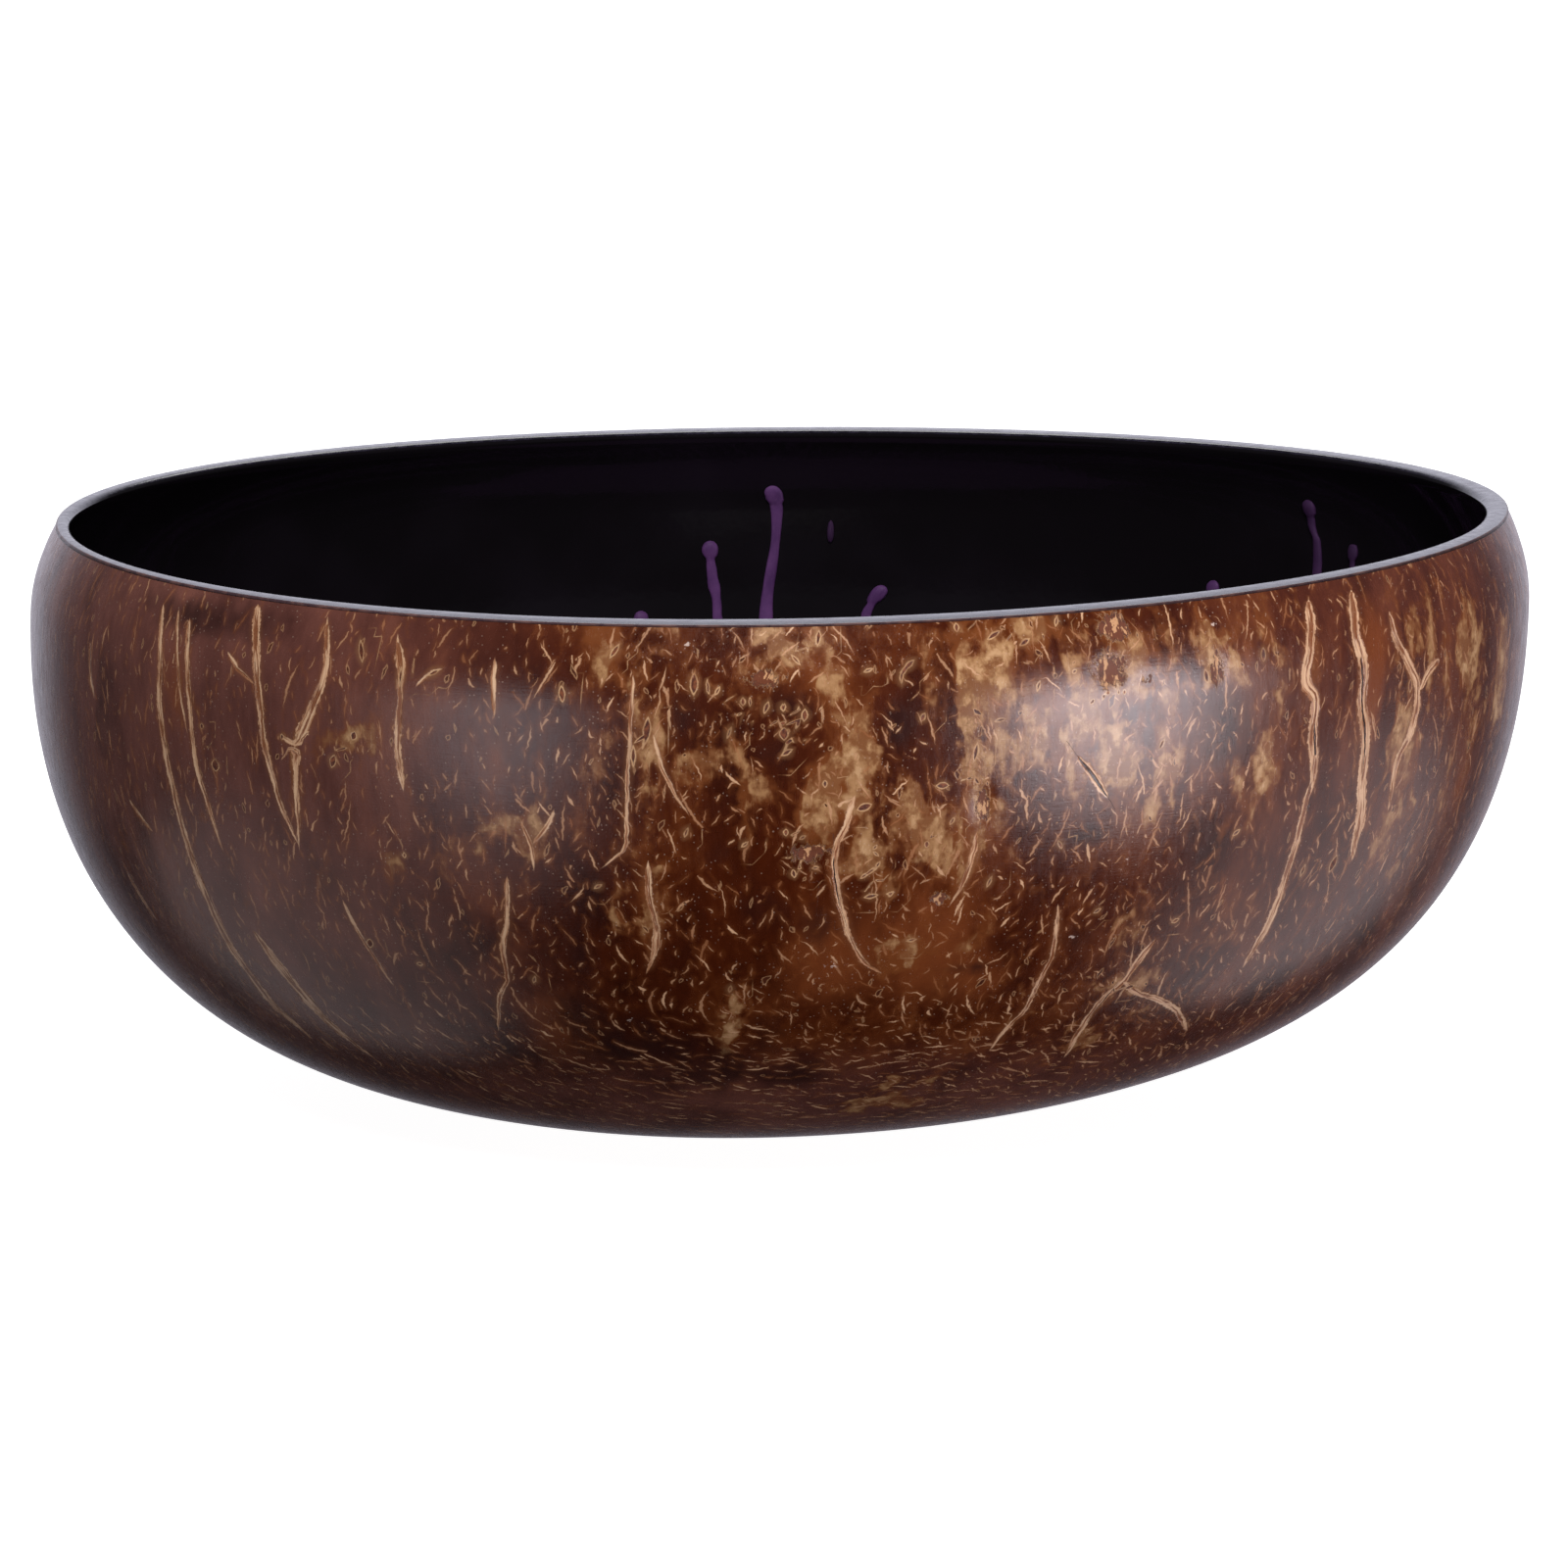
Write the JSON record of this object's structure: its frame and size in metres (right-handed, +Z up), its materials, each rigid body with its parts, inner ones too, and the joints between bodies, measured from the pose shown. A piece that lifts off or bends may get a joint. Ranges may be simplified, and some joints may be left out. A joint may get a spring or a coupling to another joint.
{
  "type": "coconut shell bowl",
  "caption": "Shallow round bowl cut and ground from a coconut shell, lined with black lacquer and splashed inside with purple paint.",
  "frame": {"origin": "on the resting plane, on the sanded flat base, under the middle of the rim", "axes": "+Z up out of the open mouth, +X to the right and -Y towards the viewer of the pictured side"},
  "size_m": [0.1402, 0.14, 0.0545],
  "materials": {
    "shell": "polished coconut shell under a thin satin varnish",
    "lacquer": "deep gloss black lacquer",
    "paint": "satin purple paint"
  },
  "bodies": {
    "root": {"coconut_shell": "shell", "black_lacquer": "lacquer", "paint_pool": "paint", "paint_runs": "paint", "paint_droplets": "paint"}
  },
  "joints": []
}
